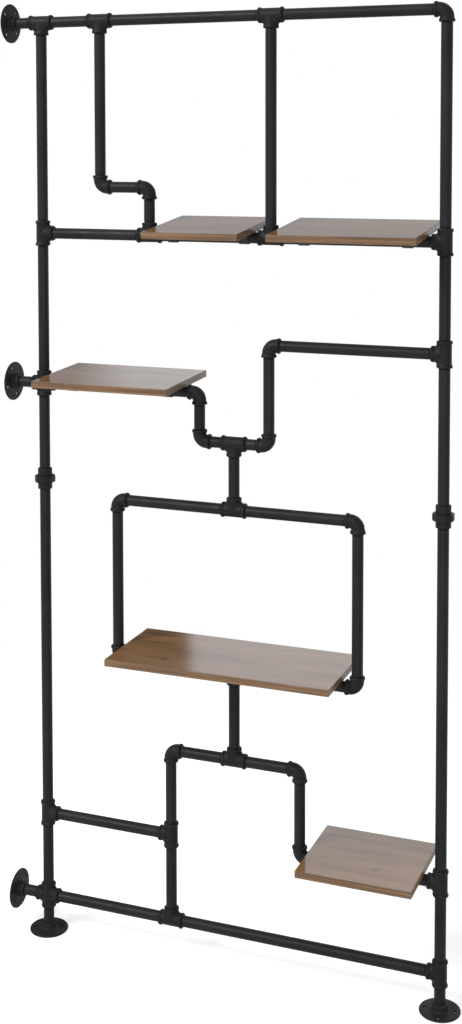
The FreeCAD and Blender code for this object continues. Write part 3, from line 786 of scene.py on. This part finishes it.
def screw():
    """Pan-head wood screw with its head's underside at the origin and its point upwards."""
    profile = [(CENTRE_R, -HEAD_HEIGHT)]
    profile += [(HEAD_R * math.sin(a), -HEAD_HEIGHT + HEAD_CROWN * (1 - math.cos(a)))
                for a in sweep(25, 70, 5)]
    profile += [(HEAD_R, -HEAD_HEIGHT + HEAD_SHOULDER), (HEAD_R, -HEAD_BREAK),
                (HEAD_R - HEAD_BREAK, 0.0), (SCREW_R, 0.0)]
    angles = full_turn(SCREW_STEPS)
    for index in range(1, SCREW_RINGS):
        height = SCREW_LENGTH * index / SCREW_RINGS
        taper = min(1.0, (SCREW_LENGTH - height) / SCREW_POINT)
        crest = np.maximum(0, np.cos(2 * math.pi * height / SCREW_PITCH - angles)) ** 3
        profile.append((SCREW_R * (SCREW_ROOT + (1 - SCREW_ROOT) * crest) * taper, height))
    profile.append((CENTRE_R, SCREW_LENGTH))
    shape = turned(profile, SCREW_STEPS)
    across = DRIVE_SPAN / 2
    side = DRIVE_WIDTH / 2
    corners = [(-across, -side), (across, -side), (across, side), (-across, side)]
    slot = closed_stack([
        np.array([(x, y, -HEAD_HEIGHT - OVERSHOOT) for x, y in corners]),
        np.array([(x * DRIVE_FLOOR[0], y * DRIVE_FLOOR[1], -HEAD_HEIGHT + DRIVE_DEPTH)
                  for x, y in corners])])
    for turn in (0, 90):
        cutter = moved(slot, Matrix.Rotation(math.radians(turn), 4, "Z"))
        shape = shape_of(cut_mesh("screw", shape, [cutter]))
    return shape


def straps_and_screws():
    """Two straps under each board, and two screws in each strap."""
    straps = []
    screws = []
    one_screw = screw()
    for node in BOARDS:
        left, right, seat, inset, matrix = board_place(node)
        one_strap = strap(seat)
        for x in (left + inset, right - inset):
            straps.append(moved(one_strap, matrix @ Matrix.Translation((x, 0, 0))))
            for y in (-SCREW_ROW, SCREW_ROW):
                at = Matrix.Translation((x, y, seat - STRAP_THICKNESS))
                turn = Matrix.Rotation(SCREW_TURN * (len(screws) + 1), 4, "Z")
                screws.append(moved(one_screw, matrix @ at @ turn))
    return joined(*straps), joined(*screws)


# --- Materials ---
# A noise's scale is in features per metre; ranges pick the part of a noise that shows.
WORN = (0.085, 0.083, 0.082)            # where the black coat is scuffed
OAK_BANDS = [(0.30, (0.105, 0.052, 0.023)), (0.44, (0.172, 0.091, 0.042)),
             (0.55, (0.212, 0.116, 0.055)), (0.70, (0.265, 0.153, 0.076))]
OAK_FIBRE = (0.150, 0.080, 0.037)
OAK_PORE = (0.070, 0.034, 0.016)
OAK_WARM = (0.225, 0.112, 0.049)
OAK_DARK = (0.072, 0.032, 0.013)        # knots and streaks of the figure
BAND_DARK = (0.085, 0.046, 0.025)       # streaks of the edge band
FACE_TINT = (1.16, 1.08, 0.85)
BAND_TINT = (1.08, 1.18, 1.30)


class Nodes:
    """Short calls for building the nodes of a material or of the world."""

    def __init__(self, owner):
        owner.use_nodes = True
        self.owner = owner
        self.tree = owner.node_tree
        if isinstance(owner, bpy.types.Material):
            self.shader = self.tree.nodes["Principled BSDF"]
            self.object = self.add("ShaderNodeTexCoord").outputs["Object"]

    def add(self, kind, inputs=None, **settings):
        """A new node; inputs gives a number, a vector, a colour or an output for each socket."""
        node = self.tree.nodes.new(kind)
        for name, value in settings.items():
            setattr(node, name, value)
        for name, value in (inputs or {}).items():
            self.put(node.inputs[name], value)
        return node

    def put(self, socket, value):
        """Gives a socket a value of its own or another node's output."""
        if isinstance(value, bpy.types.NodeSocket):
            self.tree.links.new(value, socket)
        else:
            socket.default_value = (*value, 1) if socket.type == "RGBA" else value

    def set(self, name, value):
        self.put(self.shader.inputs[name], value)

    def surface(self, output):
        """Shows another shader in place of the principled one."""
        self.tree.nodes.remove(self.shader)
        self.put(self.tree.nodes["Material Output"].inputs["Surface"], output)

    def split(self):
        """X, Y and Z of the object coordinates."""
        return self.add("ShaderNodeSeparateXYZ", {0: self.object}).outputs

    def distance(self, vector, point):
        return self.add("ShaderNodeVectorMath", {0: vector, 1: point},
                        operation="DISTANCE").outputs["Value"]

    def stretched(self, scale, shift=(0, 0, 0)):
        """Object coordinates, scaled along each axis and shifted."""
        return self.add("ShaderNodeMapping", {"Vector": self.object, "Scale": scale,
                                              "Location": shift}).outputs["Vector"]

    def noise(self, vector, scale, detail=4.0, rough=0.5, distortion=0.0):
        return self.add("ShaderNodeTexNoise", {
            "Vector": vector, "Scale": scale, "Detail": detail, "Roughness": rough,
            "Distortion": distortion}).outputs["Fac"]

    def cells(self, vector, scale):
        return self.add("ShaderNodeTexVoronoi", {"Vector": vector,
                                                 "Scale": scale}).outputs["Distance"]

    def maths(self, operation, first, second=0.0, clamp=False):
        return self.add("ShaderNodeMath", {0: first, 1: second}, operation=operation,
                        use_clamp=clamp).outputs[0]

    def ranged(self, value, low, high, to_low=0.0, to_high=1.0, smooth=False):
        return self.add("ShaderNodeMapRange", {
            "Value": value, "From Min": low, "From Max": high, "To Min": to_low,
            "To Max": to_high}, interpolation_type="SMOOTHSTEP" if smooth else "LINEAR").outputs[0]

    def ramp(self, value, stops):
        node = self.add("ShaderNodeValToRGB", {"Fac": value})
        elements = node.color_ramp.elements
        while len(elements) < len(stops):
            elements.new(0.5)
        for element, (at, colour) in zip(elements, stops):
            element.position = at
            element.color = (*colour, 1)
        return node.outputs["Color"]

    def mix(self, share, first, second, kind="MIX"):
        """Mix of two colours, through the sockets that the node keeps for colours."""
        return self.add("ShaderNodeMix", {"Factor": share, 6: first, 7: second},
                        data_type="RGBA", blend_type=kind).outputs[2]

    def blend(self, share, first, second):
        """Mix of two shaders."""
        return self.add("ShaderNodeMixShader", {0: share, 1: first, 2: second}).outputs[0]

    def glow(self, strength, colour=(1, 1, 1)):
        return self.add("ShaderNodeEmission", {"Color": colour, "Strength": strength}).outputs[0]

    def bump(self, height, strength, distance, under=None):
        """Normal after a bump, on top of the bump under it if there is one."""
        inputs = {"Height": height, "Strength": strength, "Distance": distance}
        if under is not None:
            inputs["Normal"] = under
        return self.add("ShaderNodeBump", inputs).outputs["Normal"]

    def worn_edges(self, low, high):
        """Share of wear, from how sharply the surface turns outwards."""
        geometry = self.add("ShaderNodeNewGeometry")
        return self.ranged(geometry.outputs["Pointiness"], low, high, smooth=True)

    def seen_directly(self):
        """1 for camera, glossy and transmission rays, otherwise 0."""
        path = self.add("ShaderNodeLightPath").outputs
        seen = self.maths("ADD", path["Is Camera Ray"], path["Is Glossy Ray"])
        return self.maths("ADD", seen, path["Is Transmission Ray"], clamp=True)


def black_coat(name, base, cast, rough, specular):
    """Satin black coat; cast is how strong the texture of the casting under it is."""
    n = Nodes(bpy.data.materials.new(name))
    broad = n.noise(n.object, 9.0, detail=3.0, rough=0.55)
    peel = n.noise(n.object, 900.0, detail=2.0)
    grains = n.noise(n.object, 420.0, detail=5.0, rough=0.62)
    scuffs = n.noise(n.stretched((60, 60, 14)), 3.2, detail=8.0, rough=0.72, distortion=0.6)
    scuffed = n.ranged(scuffs, 0.66, 0.74, smooth=True)
    worn = n.maths("MULTIPLY", n.worn_edges(0.53, 0.62), n.ranged(broad, 0.42, 0.68, 0.0, 0.35))
    dark, light, lightest = [tuple(value * share for value in base) for share in (0.80, 1.25, 1.7)]
    colour = n.mix(n.ranged(broad, 0.3, 0.7), dark, light)
    colour = n.mix(n.ranged(grains, 0.45, 0.75, 0.0, 0.5), colour, lightest)
    shown = n.maths("MULTIPLY", n.maths("ADD", scuffed, worn, clamp=True), 0.55)
    n.set("Base Color", n.mix(shown, colour, WORN))
    dull = n.ranged(n.noise(n.object, 38.0), 0.3, 0.7, rough - 0.07, rough + 0.07)
    n.set("Roughness", n.maths("ADD", dull, n.maths("MULTIPLY", scuffed, 0.12)))
    n.set("Specular IOR Level", specular)
    skin = n.bump(peel, strength=0.25, distance=0.00012)
    pits = n.maths("ADD", grains, n.cells(n.object, 620.0))
    n.set("Normal", n.bump(pits, strength=cast, distance=0.00022, under=skin))
    return n.owner


def across_grain(n):
    """Place across the board, made to wander along it as real grain does."""
    flow = n.noise(n.stretched((1.6, 7, 7), (0.3, 0.1, 0.7)), 2.2, detail=3.0, rough=0.55)
    wander = n.maths("MULTIPLY", n.maths("SUBTRACT", flow, 0.5), 0.085)
    return n.maths("ADD", n.split()["Y"], wander)


def oak_tones(n, across, tint):
    """Oak colours from growth bands, fine fibres and pores that run along X."""
    along, _, up = n.split()
    rings = n.add("ShaderNodeCombineXYZ", {
        axis: n.maths("MULTIPLY", value, scale)
        for axis, value, scale in (("X", along, 0.9), ("Y", across, 10.0), ("Z", up, 3.0))})
    colour = n.ramp(n.noise(rings.outputs[0], 2.4, rough=0.55), OAK_BANDS)
    fibres = n.noise(n.stretched((9, 420, 420)), 1.0, rough=0.6)
    colour = n.mix(n.ranged(fibres, 0.35, 0.65, 0.0, 0.3), colour, OAK_FIBRE)
    pores = n.noise(n.stretched((28, 950, 950), (0.4, 0.2, 0.1)), 1.0, detail=2.0)
    pore = n.ranged(pores, 0.62, 0.70, smooth=True)
    colour = n.mix(n.maths("MULTIPLY", pore, 0.5), colour, OAK_PORE)
    hue = n.noise(n.stretched((2.2, 9, 9), (2, 5, 1)), 1.6, detail=2.0)
    colour = n.mix(n.ranged(hue, 0.35, 0.65, 0.0, 0.35), colour, OAK_WARM)
    grain = n.maths("SUBTRACT", n.maths("MULTIPLY", fibres, 0.5), pore)
    n.set("Normal", n.bump(grain, strength=0.25, distance=0.00012))
    return n.mix(1.0, colour, tint, "MULTIPLY")


def uneven_roughness(n, low, high):
    """Roughness that varies a little over a board."""
    n.set("Roughness", n.ranged(n.noise(n.object, 26.0, detail=5.0), 0.3, 0.7, low, high))


def oak_face():
    """Oak-look laminate of the boards' faces: wandering grain and knots under a gloss coat."""
    n = Nodes(bpy.data.materials.new("oak_laminate"))
    ragged = n.noise(n.stretched((24, 190, 190)), 1.0, detail=3.0, rough=0.6)
    ragged = n.ranged(ragged, 0.35, 0.65, 0.45, 1.0)
    figure = 0.0
    for middle, length, width, share in FIGURE:
        scale = Vector((1 / length, 1 / width, 1 / width))
        away = n.distance(n.stretched(scale), Vector(middle) * scale)
        near = n.ranged(away, 0.1, 1.0, share, 0.0, smooth=True)
        figure = n.maths("MAXIMUM", near, figure)
    across = n.maths("ADD", across_grain(n), n.maths("MULTIPLY", figure, 0.015))
    dark = n.maths("MULTIPLY", figure, ragged)
    n.set("Base Color", n.mix(dark, oak_tones(n, across, FACE_TINT), OAK_DARK))
    uneven_roughness(n, 0.40, 0.55)
    n.set("Specular IOR Level", 0.05)
    n.set("Coat Weight", 1.0)
    n.set("Coat Roughness", 0.10)
    n.set("Coat IOR", 1.7)
    return n.owner


def oak_band():
    """Edge band: the same oak, streaked along its length, with a satin face."""
    n = Nodes(bpy.data.materials.new("oak_edge_band"))
    colour = oak_tones(n, across_grain(n), BAND_TINT)
    along_band = n.stretched((5, 5, 290), (1.3, 0.6, 0.2))
    streaks = n.noise(along_band, 1.0, detail=2.0, distortion=0.4)
    n.set("Base Color", n.mix(n.ranged(streaks, 0.40, 0.58, 0.0, 0.75), colour, BAND_DARK))
    uneven_roughness(n, 0.28, 0.42)
    n.set("Specular IOR Level", 0.35)
    return n.owner


# A coat's colour, the strength of its casting's texture, its roughness and its specular level.
pipe_coat = black_coat("black_pipe_coat", (0.0127, 0.0128, 0.0151), 0.10, 0.43, 0.12)
cast_coat = black_coat("black_cast_coat", (0.0102, 0.0106, 0.0122), 0.60, 0.48, 0.12)
flange_coat = black_coat("black_flange_coat", (0.0162, 0.0164, 0.0168), 0.70, 0.48, 0.11)
strap_coat = black_coat("black_strap_coat", (0.0125, 0.0125, 0.0135), 0.15, 0.45, 0.35)
screw_coat = black_coat("black_screw_coat", (0.0100, 0.0100, 0.0105), 0.10, 0.38, 0.45)
laminate = oak_face()
edge_band = oak_band()

# --- Pieces ---
for prefix, nodes, build, slot, coat in (
        ("pipe.", PIPE_NODES, pipes, "black_pipe", pipe_coat),
        ("cast.", FITTING_NODES, fittings, "black_fitting", cast_coat),
        ("cast.", HOLE_TURNS, flange_at, "black_flange", flange_coat),
        ("cast.", UNIONS, union_pieces, "black_fitting", cast_coat)):
    for node in nodes:
        place(prefix + node, make_mesh(node, build(node)), slot, [coat], node)
for node in BOARDS:
    mesh = make_mesh(node, board(node))
    piece = place("wood." + node, mesh, "oak_board", [laminate, edge_band], node)
    for polygon in mesh.polygons:
        if abs(polygon.normal.z) < 0.9:     # the sides wear the edge band
            polygon.material_index = 1
    piece.modifiers.new("flat faces", "WEIGHTED_NORMAL").keep_sharp = True
strap_shape, screw_shape = straps_and_screws()
place("steel.pipe_straps", make_mesh("pipe_straps", strap_shape), "black_strap", [strap_coat],
      "pipe_straps")
place("steel.strap_screws", make_mesh("strap_screws", screw_shape), "black_screw", [screw_coat],
      "strap_screws")

# --- Studio ---
AMBIENT = 0.55              # strength of the white world for diffuse rays
CARD_COLOUR = (0.785, 0.885, 0.98)
FLOOR_MIDDLE = (0.4, 0, 0)
FLOOR_FADE = (0.9, 2.0)     # distances between which the floor fades into the world
FLOOR_LIFT = (0.2, 0.5)     # glow of the floor in reflections and for the camera
FLOOR_TONES = [(0.3, (0.80, 0.80, 0.80)), (0.7, (0.82, 0.82, 0.82))]
# Painted shade under the two floor flanges, where no glow is added to the floor.
FEET_WITH_PAINTED_SHADE = ((0.0, 0.0, 0.0), (0.812, 0.0, 0.0))     # the floor doesn't glow under the flanges


def soft_light(name, where, towards, size, power):
    """Square area lamp aimed at a point."""
    lamp = bpy.data.lights.new(name, "AREA")
    lamp.shape = "SQUARE"
    lamp.size = size
    lamp.energy = power
    obj = in_scene(name, lamp)
    obj.location = where
    obj.rotation_mode = "QUATERNION"
    obj.rotation_quaternion = (Vector(towards) - Vector(where)).to_track_quat("-Z", "Y")
    obj.visible_camera = False


def sheet(name, middle, along, up, material):
    """Flat piece of the studio, from its middle and the halves of its two sides."""
    middle, along, up = Vector(middle), Vector(along), Vector(up)
    mesh = bpy.data.meshes.new(name)
    mesh.from_pydata([middle - along - up, middle + along - up, middle + along + up,
                      middle - along + up], [], [(0, 1, 2, 3)])
    mesh.materials.append(material)
    return in_scene(name, mesh)


def backdrop_glow():
    """White up to eye level and darker above, as if a dark thing stood before its left end."""
    n = Nodes(bpy.data.materials.new("backdrop_glow"))
    across, _, height = n.split()
    falloff = n.ranged(height, 1.7, 2.15, 1.3, 0.50)
    side_falloff = n.ranged(across, -1.25, -1.0, 0.42, 1.0)
    left_part = n.ranged(across, -0.77, -0.71, 1.0, 0.0, smooth=True)
    low_part = n.ranged(height, 1.66, 1.76, 1.0, 0.0, smooth=True)
    shade = n.maths("SUBTRACT", 1.0, n.maths("MULTIPLY", left_part, low_part))
    lit = n.maths("MULTIPLY", n.maths("MULTIPLY", falloff, side_falloff), shade)
    n.surface(n.glow(lit, CARD_COLOUR))
    return n.owner


def white_floor():
    """White for the camera, with the object's soft shadow and a painted shade under each floor
    flange; it fades into the white world.
    """
    n = Nodes(bpy.data.materials.new("white_floor"))
    tone = n.ramp(n.noise(n.object, 3.0, detail=3.0), FLOOR_TONES)
    diffuse = n.add("ShaderNodeBsdfDiffuse", {"Color": tone}).outputs[0]
    path = n.add("ShaderNodeLightPath").outputs
    lift = n.ranged(path["Is Camera Ray"], 0.0, 1.0, *FLOOR_LIFT)
    # Painted shade: the floor's glow is taken away under each floor flange, so the floor shows
    # dark through the flange's holes.
    for foot in FEET_WITH_PAINTED_SHADE:
        outside_painted_shade = n.ranged(n.distance(n.object, foot), 0.9 * FLANGE_R, FLANGE_R)
        lift = n.maths("MULTIPLY", lift, outside_painted_shade)
    lifted = n.add("ShaderNodeAddShader", {0: diffuse, 1: n.glow(lift)}).outputs[0]
    fade = n.ranged(n.distance(n.object, FLOOR_MIDDLE), *FLOOR_FADE, smooth=True)
    n.surface(n.blend(n.seen_directly(), diffuse, n.blend(fade, lifted, n.glow(1.0))))
    return n.owner


world = bpy.data.worlds.new("studio")
bpy.context.scene.world = world
sky = Nodes(world)
background = sky.tree.nodes["Background"]
background.inputs["Color"].default_value = (1, 1, 1, 1)
sky.put(background.inputs["Strength"], sky.ranged(sky.seen_directly(), 0.0, 1.0, AMBIENT, 1.0))

soft_light("key", where=(-2.24, -3.68, 4.39), towards=(0.4, 0, 0.95), size=1.9, power=250)
soft_light("fill", where=(1.6, -3.2, 0.8), towards=(0.4, 0, 0.7), size=1.5, power=18)

# The backdrop is there for reflections only.
card = sheet("backdrop", middle=(0.25, 2.5, 1.55), along=(3.25, 0, 0), up=(0, 0, 1.65),
             material=backdrop_glow())
card.visible_camera = False
card.visible_diffuse = False
card.visible_transmission = False
card.visible_shadow = False

floor = sheet("floor", middle=(0, 0, -0.0002), along=(6, 0, 0), up=(0, 6, 0),
              material=white_floor())

# --- Camera ---
IMAGE_HEIGHT = 1024
FOCAL_PIXELS = 1494
CENTRE_ROW = 236            # the row of the image that the camera is level with
SENSOR = 36.0
CAMERA_PLACE = (1.4207, -2.6236, 1.5987)
CAMERA_YAW = 21.25          # degrees, to the left of +Y
CAMERA_PITCH = 3.52         # degrees, downwards
CAMERA_ROLL = -0.07         # degrees about the line of sight

camera_data = bpy.data.cameras.new("camera")
camera_data.sensor_width = SENSOR
camera_data.lens = SENSOR * FOCAL_PIXELS / IMAGE_HEIGHT
camera_data.shift_y = -(IMAGE_HEIGHT / 2 - CENTRE_ROW) / IMAGE_HEIGHT
camera = in_scene("camera", camera_data)
camera.location = CAMERA_PLACE
camera.rotation_euler = (Matrix.Rotation(math.radians(CAMERA_YAW), 3, "Z")
                         @ Matrix.Rotation(math.radians(90 - CAMERA_PITCH), 3, "X")
                         @ Matrix.Rotation(math.radians(CAMERA_ROLL), 3, "Z")).to_euler()
bpy.context.scene.camera = camera

bpy.context.scene.view_settings.view_transform = "Standard"
